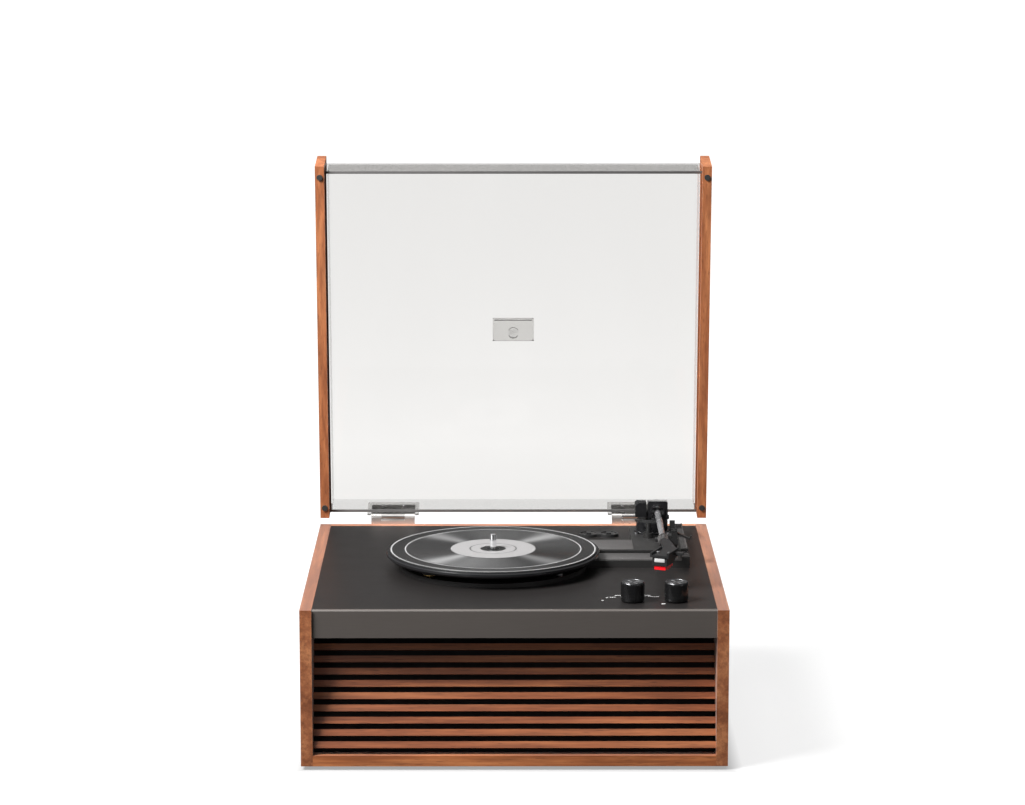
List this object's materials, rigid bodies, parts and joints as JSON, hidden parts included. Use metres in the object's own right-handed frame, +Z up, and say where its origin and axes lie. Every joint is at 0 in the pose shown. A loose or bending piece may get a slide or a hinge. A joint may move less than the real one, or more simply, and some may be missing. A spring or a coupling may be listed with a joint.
{
  "type": "turntable record player",
  "caption": "Wooden turntable record player with a slatted speaker front, belt driven platter, tonearm, rotary knobs and a hinged clear lid standing open.",
  "frame": {"origin": "on the surface it stands on, in the middle of the overall footprint with the lid open", "axes": "+X to the right of the person using it, +Y towards the back, +Z up"},
  "size_m": [0.432, 0.4588, 0.5786],
  "materials": {
    "walnut_body": "oiled walnut veneer",
    "walnut_slats": "oiled walnut strips",
    "walnut_lid": "oiled walnut strips",
    "black_board": "black painted board",
    "deck_black": "fine satin black",
    "fascia_metal": "satin grey-brown",
    "cloth_black": "woven grille cloth",
    "paper_black": "pressed paper cone",
    "steel_plain": "zinc plated",
    "board_green": "circuit board",
    "board_parts": "mixed electronic parts",
    "black_plastic": "fine textured black",
    "gloss_black": "semi-gloss black",
    "brass": "bright brass",
    "rubber_black": "matte rubber",
    "mat_print": "printed ribbed rubber mat",
    "chrome": "polished",
    "tube_silver": "satin anodised",
    "stylus_red": "red moulded",
    "knob_black": "black anodised, turned top",
    "clear_acrylic": "clear polished"
  },
  "bodies": {
    "cabinet": {"side_panel_left": "walnut_body", "side_panel_right": "walnut_body", "front_rail": "walnut_body", "back_panel": "walnut_body", "grille_slats": "walnut_slats", "bottom_panel": "black_board", "speaker_baffle": "black_board", "deck_panel": "deck_black", "fascia": "fascia_metal", "grille_cloth": "cloth_black", "speaker_cone_left": "paper_black", "speaker_cone_right": "paper_black", "speaker_frame_left": "steel_plain", "speaker_frame_right": "steel_plain", "speaker_magnet_left": "steel_plain", "speaker_magnet_right": "steel_plain", "motor": "steel_plain", "selector_switch": "steel_plain", "volume_pot": "steel_plain", "cabinet_screws": "steel_plain", "chassis_screws": "steel_plain", "amplifier_board": "board_green", "amplifier_parts": "board_parts", "terminal_plate": "black_plastic", "aux_socket": "black_plastic", "power_inlet": "black_plastic", "mechanism_chassis": "black_plastic", "tonearm_pedestal": "black_plastic", "arm_rest": "black_plastic", "switch_plate": "black_plastic", "phono_sockets": "brass", "bearing_bush": "brass", "rubber_feet": "rubber_black", "drive_belt": "rubber_black", "hinge_body_leaves": "chrome", "hinge_pins": "chrome"},
    "lid": {"lid_cover": "clear_acrylic", "lid_rail_left": "walnut_lid", "lid_rail_right": "walnut_lid", "lid_bumpers": "rubber_black", "sleeve_bracket": "clear_acrylic", "hinge_blocks": "clear_acrylic", "hinge_lid_leaves": "chrome"},
    "platter": {"platter": "gloss_black", "slip_mat": "mat_print", "spindle": "chrome"},
    "pulley": {"motor_pulley": "brass"},
    "arm_base": {"tonearm_yoke": "gloss_black"},
    "tonearm": {"arm_tube": "tube_silver", "counterweight": "gloss_black", "headshell": "gloss_black", "cartridge": "gloss_black", "stylus": "stylus_red"},
    "arm_clip": {"arm_clip": "black_plastic"},
    "cue_lever": {"cue_lever": "black_plastic"},
    "lifter": {"lifter_bar": "black_plastic"},
    "selector": {"selector_knob": "knob_black"},
    "volume": {"volume_knob": "knob_black"},
    "speed_slide": {"speed_switch": "black_plastic"},
    "autostop_slide": {"autostop_switch": "black_plastic"}
  },
  "joints": [
    {"name": "lid_hinge", "type": "hinge", "parent": "cabinet", "child": "lid", "pos_m": [0, 0.17914, 0.1735], "axis": [-1, 0, 0], "range_deg": [-84, 0]},
    {"name": "platter_spin", "type": "hinge", "parent": "cabinet", "child": "platter", "pos_m": [-0.022, -0.03436, 0.176], "axis": [0, 0, 1], "continuous": true},
    {"name": "pulley_spin", "type": "hinge", "parent": "cabinet", "child": "pulley", "pos_m": [-0.08705, -0.09942, 0.176], "axis": [0, 0, 1], "continuous": true},
    {"name": "tonearm_swing", "type": "hinge", "parent": "cabinet", "child": "arm_base", "pos_m": [0.1575, 0.09264, 0.192], "axis": [0, 0, -1], "range_deg": [0, 39]},
    {"name": "tonearm_lift", "type": "hinge", "parent": "arm_base", "child": "tonearm", "pos_m": [0.1575, 0.09264, 0.198], "axis": [-1, 0, 0], "range_deg": [0, 10]},
    {"name": "clip_turn", "type": "hinge", "parent": "cabinet", "child": "arm_clip", "pos_m": [0.17, -0.02536, 0.2015], "axis": [0, -1, 0], "range_deg": [0, 195]},
    {"name": "cue_turn", "type": "hinge", "parent": "cabinet", "child": "cue_lever", "pos_m": [0.1715, 0.05664, 0.181], "axis": [1, 0, 0], "range_deg": [0, 50]},
    {"name": "lifter_slide", "type": "slide", "parent": "cabinet", "child": "lifter", "axis": [0, 0, -1], "range_m": [0, 0.005]},
    {"name": "selector_turn", "type": "hinge", "parent": "cabinet", "child": "selector", "pos_m": [0.12, -0.18976, 0.176], "axis": [0, 0, -1], "range_deg": [-60, 60]},
    {"name": "volume_turn", "type": "hinge", "parent": "cabinet", "child": "volume", "pos_m": [0.1644, -0.18976, 0.176], "axis": [0, 0, -1], "range_deg": [0, 300]},
    {"name": "speed_select", "type": "slide", "parent": "cabinet", "child": "speed_slide", "axis": [0, 1, 0], "range_m": [0, 0.005]},
    {"name": "autostop_select", "type": "slide", "parent": "cabinet", "child": "autostop_slide", "axis": [0, 1, 0], "range_m": [0, 0.005]}
  ],
  "couplings": [
    {"joint": "pulley_spin", "follows": "platter_spin", "ratio": 10},
    {"joint": "lifter_slide", "follows": "cue_turn", "m_per_rad": 0.0057296}
  ]
}
